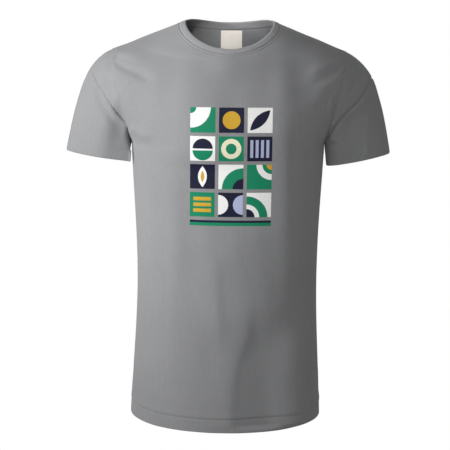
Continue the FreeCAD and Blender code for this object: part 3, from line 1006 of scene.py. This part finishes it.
def seam_strip(name, side, low_z, high_z, count, node):
    """An overlocked allowance pressed to the back: along a side or a shoulder."""
    z = np.linspace(low_z, high_z, count)
    out = []
    for y in np.linspace(0.3, SEAM_WIDTH, 6):
        n = back_roundness(z)
        turn = np.arcsin(np.clip(y / back_depth(z), 0, 1) ** (n / 2))
        angle = 2 * PI - turn if side > 0 else PI + turn
        out.append(on_body(angle, z, CLOTH + SEAM_GAP))
    return strip(name, np.array(out), OVERLOCK, (node,), EDGE_WALL, side > 0)


SIDES = (("left", 1), ("right", -1))
SHOULDER_SEAM_TOP = -11.5
seam_edges = []
for word, side in SIDES:
    seam_edges += [
        seam_strip("side_seam_edge_" + word, side, HEM_Z + BODY_HEM + 1.0, UNDERARM_Z - 1.5, 150,
                   "side_seam_" + word),
        seam_strip("shoulder_seam_edge_" + word, side, TIP_Z - 1.0, SHOULDER_SEAM_TOP, 60,
                   "shoulder_seam_" + word)]


# Neck rib

RIB_ROWS = 9
RIB_COUNT = 232
RIB_PLACES = 6                # places across one rib
RIB_COLUMNS = RIB_COUNT * RIB_PLACES
RIB_WAVE, RIB_WAVE_INSIDE = 0.16, 0.12
RIB_WALL, RIB_WALL_LOW = 1.55, 1.3
RIB_RELIEF = 0.6              # the share of the body's folds that the firmer rib follows

# How far each row of the band stands out, from the seam to the free edge
RIB_CROWN = [-0.55, 0.3, 0.5, 0.5, 0.5, 0.5, 0.45, 0.2, -0.45]


def rib_net():
    """A folded band: up its outer side, over the free edge and down its inner side."""
    angle = 2 * PI * np.arange(RIB_COLUMNS) / RIB_COLUMNS
    low, high = neck_seam(angle), neck_edge(angle)
    wave = np.cos(np.arange(RIB_COLUMNS) / RIB_PLACES * 2 * PI)
    last = RIB_ROWS - 1
    rows = np.array([form(angle, low + (high - low) * (k / last)) for k in range(RIB_ROWS)])
    normals = net_normals(rows)
    relief = body_relief(rows.reshape(-1, 3)).reshape(rows.shape[:2]) * RIB_RELIEF
    outer = [moved(rows[k], normals[k], relief[k] + RIB_CROWN[k] + RIB_WAVE * wave * (0 < k < last))
             for k in range(RIB_ROWS)]
    up = rows[-1] - rows[-2]
    up /= np.linalg.norm(up, axis=1, keepdims=True)
    outer[-1] = outer[-1] + up * 0.5
    outer[-2] = outer[-2] + up * 0.1
    inner = [moved(rows[k], normals[k], relief[k] - RIB_WALL - RIB_WAVE_INSIDE * wave * (k < last))
             for k in range(last, -1, -1)]
    inner[0] = inner[0] + up * 0.1 + normals[-1] * 0.25
    inner[-1] = moved(rows[0], normals[0], relief[0] - RIB_WALL_LOW)
    return np.array(outer + inner + [outer[0]])


rib_places = closed(rib_net())
rib_mesh = net_mesh("neck_rib_cloth", rib_places, flat_sizes(rib_places), False, True)
neck_rib = piece("neck_rib_cloth", rib_mesh, RIB, ("neck_rib",))


# Sleeves and what is sewn inside them

def at_length(net, lengths, wanted):
    """Places on each column of a net at its own lengths from the first row."""
    out = np.empty((len(wanted),) + net.shape[1:])
    for j in range(net.shape[1]):
        for axis in range(3):
            out[:, j, axis] = np.interp(wanted[:, j], lengths[:, j], net[:, j, axis])
    return out


def make_sleeve(word, side):
    """One sleeve, with its turned hem and its overlocked armhole allowance."""
    made = sleeve_surface(side)
    lengths, total = made["lengths"], made["lengths"][-1]
    # One more ring, tucked under the body's cloth
    tuck = made["places"][:1] + np.array([-side * 2.0, 0, 0.4]) - made["normals"][:1]
    places = closed(np.concatenate([tuck, made["places"]]))
    mesh = net_mesh("sleeve_cloth_" + word, places, flat_sizes(places), side > 0, True)
    made["piece"] = piece("sleeve_cloth_" + word, mesh, JERSEY, ("sleeve_" + word,), CLOTH)
    inside = made["plain"] - made["normals"] * (CLOTH + LAYER_GAP)
    cuff = closed(at_length(inside, lengths, total - np.linspace(SLEEVE_HEM, 0.35, 9)[:, None]))
    made["hem"] = strip("sleeve_hem_fold_" + word, cuff, JERSEY, ("sleeve_hem_" + word,), CUFF_WALL,
                        side > 0, True)
    wide = np.minimum(SEAM_WIDTH, total - SLEEVE_HEM - 1.0)
    edge = closed(at_length(inside, lengths, np.linspace(0.4, 1.0, 6)[:, None] * wide))
    made["edge"] = strip("armhole_seam_edge_" + word, edge, OVERLOCK, ("armhole_seam_" + word,),
                         EDGE_WALL, side > 0, True)
    return made


SLEEVES = {word: make_sleeve(word, side) for word, side in SIDES}


# Stitches

def thread_bar():
    """One stitch of unit size, to be laid many times."""
    bm = bmesh.new()
    bmesh.ops.create_uvsphere(bm, u_segments=6, v_segments=5, radius=1.0)
    bmesh.ops.rotate(bm, verts=bm.verts, matrix=Matrix.Rotation(PI / 2, 3, "Y"))
    mesh = mesh_of(bm, "thread_bar")
    co = np.empty(len(mesh.vertices) * 3, np.float32)
    mesh.vertices.foreach_get("co", co)
    return mesh, co.reshape(-1, 3)


BAR, BAR_PLACES = thread_bar()


def stitch_row(bm, places, normals, length=2.3, pitch=3.2, radius=0.24, lift=0.08):
    """Short thread bars laid end to end along a line of places."""
    run = lengths_along(places)
    count = int(run[-1] / pitch)
    at = run[-1] * (np.arange(count) + 0.5) / count

    def read(net, where):
        return np.stack([np.interp(where, run, net[:, i]) for i in range(3)], -1)

    low, high, out = read(places, at - length / 2), read(places, at + length / 2), read(normals, at)
    for start, end, up in zip(low, high, out):
        half = (end - start) / 2
        ahead = half / np.linalg.norm(half)
        up = up - ahead * (up @ ahead)
        up /= np.linalg.norm(up)
        axes = np.stack([half, np.cross(up, ahead) * radius, up * radius])
        laid = BAR_PLACES @ axes + (start + end) / 2 + up * lift
        BAR.vertices.foreach_set("co", (laid * MM).astype(np.float32).ravel())
        bm.from_mesh(BAR)


def stitching(name, lines, **sizes):
    bm = bmesh.new()
    for places, normals in lines:
        stitch_row(bm, places, normals, **sizes)
    return piece(name, mesh_of(bm, name), STITCH)


def ring_line(row):
    """One row of the body, all the way round, and its normals."""
    return [closed(net[row:row + 1])[0] for net in (BODY, CLOTH_NORMALS)]


def sleeve_line(made, d):
    """The line on a sleeve at a length from its cuff, and its normals."""
    wanted = (made["lengths"][-1] - d)[None]
    return [closed(at_length(made[part], made["lengths"], wanted))[0] for part in ("places", "normals")]


hem_stitches = stitching("hem_stitches", [ring_line(HEM_ROWS.index(d)) for d in HEM_STITCHES])
neck_stitches = stitching("neck_stitches",
                          [ring_line(FIRST_NECK_ROW + NECK_ROWS.index(d)) for d in NECK_STITCHES],
                          length=2.0, pitch=2.8)
for word, made in SLEEVES.items():
    made["stitches"] = stitching("sleeve_stitches_" + word, [sleeve_line(made, d) for d in SLEEVE_STITCHES])


def label_lines():
    net = label_net()
    toward = np.array([[0.0, -1.0, 0.0]])
    top, bottom = net[1], net[-2]
    return [(line, np.repeat(toward, len(line), 0)) for line in (top, bottom)]


label_stitches = stitching("label_stitches", label_lines(), length=1.5, pitch=2.2, radius=0.18, lift=0.05)


# Print: a generic sampler of plain geometric tiles, in screen-print inks

INKS = {
    "green": (0.004, 0.215, 0.105),
    "white": (0.86, 0.86, 0.84),
    "navy": (0.004, 0.005, 0.024),
    "gold": (0.60, 0.35, 0.03),
    "lavender": (0.42, 0.46, 0.66),
    "cream": (0.83, 0.79, 0.58),
}
PRINT_X, PRINT_TOP = 5.0, -145.0
TILE, GAP = 42.0, 6.0
INK_WALL = 0.08
INK_LIFT, INK_STEP = 0.10, 0.08         # the first layer above the cloth, and each layer above the last


def block(x0, x1, z0, z1, cols=14, rows=14):
    x, z = np.meshgrid(np.linspace(x0, x1, cols), np.linspace(z0, z1, rows))
    return np.stack([x, z], -1)


def sector(cx, cz, r0, r1, a0, a1, rows=8, cols=30):
    turn, r = np.meshgrid(np.radians(np.linspace(a0, a1, cols)), np.linspace(r0, r1, rows))
    return np.stack([cx + r * np.cos(turn), cz + r * np.sin(turn)], -1)


def leaf(cx, cz, long, wide, tilt, rows=11, cols=24):
    """A pointed oval: two arcs that meet."""
    t, v = np.meshgrid(np.linspace(-1, 1, cols), np.linspace(-1, 1, rows))
    x, z = t * long / 2, v * wide / 2 * (1 - t ** 2)
    a = math.radians(tilt)
    return np.stack([cx + x * math.cos(a) - z * math.sin(a), cz + x * math.sin(a) + z * math.cos(a)], -1)


def motifs():
    """(ink, layer, flat net) for every shape of the print; x and z as seen from the front."""
    half = TILE / 2
    columns = [PRINT_X + (c - 1) * (TILE + GAP) for c in range(3)]
    rows = [PRINT_TOP - half - r * (TILE + GAP) for r in range(4)]
    grounds = [["green", "navy", "white"], ["white", "green", "navy"], ["navy", "white", "green"],
               ["green", "navy", "white"]]
    shapes = []
    for r, z in enumerate(rows):
        for c, x in enumerate(columns):
            shapes.append((grounds[r][c], 0, block(x - half, x + half, z - half, z + half)))
    x0, x1, x2 = columns
    z0, z1, z2, z3 = rows

    def lay(name, net, layer=1):
        shapes.append((name, layer, net))

    lay("white", sector(x0 - half, z0 + half, 10, 34, -90, 0))
    lay("gold", sector(x1, z0, 0, 15, 0, 360))
    lay("navy", leaf(x2, z0, 48, 17, 45))
    lay("navy", sector(x0, z1, 0, 17, 0, 180))
    lay("green", sector(x0, z1 - 3, 0, 17, 180, 360))
    lay("cream", sector(x1, z1, 9, 17, 0, 360))
    for k in range(4):
        lay("lavender", block(x2 - 16 + k * 9, x2 - 11 + k * 9, z1 - 15, z1 + 15, 4, 12))
    lay("white", leaf(x0, z2, 36, 15, 90))
    lay("gold", leaf(x0, z2, 20, 6, 90), 2)
    lay("green", sector(x1 + half, z2 - half, 0, 36, 90, 180))
    lay("navy", sector(x1 + half, z2 - half, 0, 18, 90, 180), 2)
    lay("white", sector(x2 + half, z2 + half, 16, 26, 180, 270))
    lay("gold", sector(x2 + half, z2 + half, 0, 9, 180, 270))
    for k in range(3):
        lay("gold", block(x0 - 15, x0 + 15, z3 - 13 + k * 10, z3 - 7 + k * 10, 12, 4))
    lay("white", sector(x1 - half, z3, 0, 17, -90, 90))
    lay("lavender", sector(x1 + half, z3, 0, 17, 90, 270))
    lay("green", sector(x2 - half, z3 - half, 22, 36, 0, 90))
    lay("navy", sector(x2 - half, z3 - half, 0, 14, 0, 90))
    bottom = rows[3] - half - GAP
    wide = 1.5 * TILE + GAP
    lay("navy", block(PRINT_X - wide, PRINT_X + wide, bottom - 4, bottom, 46, 3), 0)
    lay("green", block(PRINT_X - wide, PRINT_X + wide, bottom - 9.5, bottom - 4, 46, 4), 0)
    return shapes


def front_tree():
    """The folded front without its stitch grooves, to lay the print on."""
    places = panel_net(CLOTH_BODY, True)
    bm = bmesh.new()
    bm.from_mesh(net_mesh("print_ground", places))
    tree = BVHTree.FromBMesh(bm)
    bm.free()
    return tree


def make_print():
    tree = front_tree()
    meshes = {}
    for name, layer, flat in motifs():
        rows, cols = flat.shape[:2]
        places = np.empty((rows, cols, 3))
        for i in range(rows):
            for j in range(cols):
                x, z = flat[i, j]
                hit, normal, _, _ = tree.ray_cast(Vector((x * MM, -0.4, z * MM)), Vector((0, 1, 0)))
                if normal.y > 0:
                    normal = -normal
                places[i, j] = np.array(hit + normal * (INK_LIFT + INK_STEP * layer) * MM) / MM
        mesh = net_mesh("motif", places)
        meshes.setdefault(name, []).append(mesh)
    made = []
    for name, parts in meshes.items():
        bm = bmesh.new()
        for mesh in parts:
            bm.from_mesh(mesh)
        bmesh.ops.remove_doubles(bm, verts=bm.verts, dist=2e-6)
        bm.normal_update()
        for face in bm.faces:
            if face.normal.y > 0:
                face.normal_flip()
        joined = mesh_of(bm, "print_" + name)
        made.append(piece("print_" + name, joined, ink(name, INKS[name]), wall=INK_WALL))
    return made


print_films = make_print()


# Camera, lights and floor, in metres

CAMERA_PLACE = (-0.0039, -2.45, 0.0)
CAMERA_DOWN, CAMERA_ROLL = 8.43, 0.7    # degrees
LENS = 110.72
FLOOR_DROP = 1.3
FLOOR_REACH = 14.0
FLOOR_GLOW = (0.30, 0.72)     # the distance, over the drop, at which the glow starts and is full
WORLD_LIGHT = 0.265
CHEST = (-0.02, -0.1, -0.2)


def lamp(kind, name, place, target, power, **settings):
    light = bpy.data.lights.new(name, kind)
    light.energy = power
    for key, value in settings.items():
        setattr(light, key, value)
    hung = placed(name, light)
    hung.location = place
    hung.rotation_euler = (Vector(target) - Vector(place)).to_track_quat("-Z", "Y").to_euler()


def soft_lamp(name, place, target, size, power, spread=180):
    """A square lamp. A narrow spread, in degrees, keeps its light together."""
    lamp("AREA", name, place, target, power, shape="RECTANGLE", size=size, size_y=size,
         spread=math.radians(spread))


def set_camera():
    data = bpy.data.cameras.new("camera")
    data.sensor_width = 36.0
    data.lens = LENS
    data.clip_end = 60.0
    camera = placed("camera", data)
    camera.matrix_world = (Matrix.Translation(CAMERA_PLACE)
                           @ Matrix.Rotation(math.radians(90 - CAMERA_DOWN), 4, "X")
                           @ Matrix.Rotation(math.radians(CAMERA_ROLL), 4, "Z"))
    bpy.context.scene.camera = camera


def set_world():
    """White behind the shirt; a plain grey light on it."""
    world = bpy.data.worlds.new("studio")
    bpy.context.scene.world = world
    world.use_nodes = True
    sky = Nodes(world.node_tree)
    camera, glossy, transmission = (sky.node("ShaderNodeLightPath", output="Is %s Ray" % kind)
                                    for kind in ("Camera", "Glossy", "Transmission"))
    light = sky.node("ShaderNodeBackground", inputs={0: (1, 1, 1, 1), 1: WORLD_LIGHT})
    white = sky.node("ShaderNodeBackground", inputs={0: (1, 1, 1, 1), 1: 1.0})
    seen = camera.most(glossy).most(transmission)
    mixed = sky.node("ShaderNodeMixShader", inputs={0: seen, 1: light, 2: white})
    out = sky.nodes.new("ShaderNodeOutputWorld")
    sky.links.new(mixed.socket, out.inputs[0])


def set_floor():
    """A pale floor that glows white far from the shirt, where the camera sees it."""
    bm = bmesh.new()
    bmesh.ops.create_grid(bm, x_segments=2, y_segments=2, size=FLOOR_REACH)
    bmesh.ops.translate(bm, verts=bm.verts, vec=(0, 0, -FLOOR_DROP))
    mesh = mesh_of(bm, "floor")
    finish = Finish("pale_floor", (0.86, 0.86, 0.86), 0.9, Specular_IOR_Level=0.1)
    away = finish.node("ShaderNodeVectorMath", {"operation": "LENGTH"}, {0: finish.place()}, output=1)
    away = (away - FLOOR_DROP).between(*FLOOR_GLOW)
    seen = finish.node("ShaderNodeLightPath", output="Is Camera Ray")
    glow = finish.node("ShaderNodeEmission", inputs={0: (1, 1, 1, 1), 1: 1.0})
    plain = Value(finish, finish.shader.outputs[0])
    mixed = finish.node("ShaderNodeMixShader", inputs={0: seen * away, 1: plain, 2: glow})
    finish.links.new(mixed.socket, finish.out.inputs[0])
    mesh.materials.append(finish.material)
    placed("floor", mesh)


set_world()
set_floor()
set_camera()
soft_lamp("key", (-1.678, -0.892, 0.2), CHEST, size=0.5, power=5.2, spread=60)
soft_lamp("front", (-0.2, -2.0, -0.1), CHEST, size=0.5, power=1.15, spread=60)
soft_lamp("back_fill", (-1.2, 3.0, 0.6), (0, 0, -0.3), size=2.0, power=16)
lamp("SPOT", "neck_light", (-0.06, -1.83, 1.07), (-0.008, 0.08, -0.03), power=150,
     spot_size=math.radians(5.2), spot_blend=0.7, shadow_soft_size=0.08)

scene = bpy.context.scene
scene.view_settings.view_transform = "Standard"
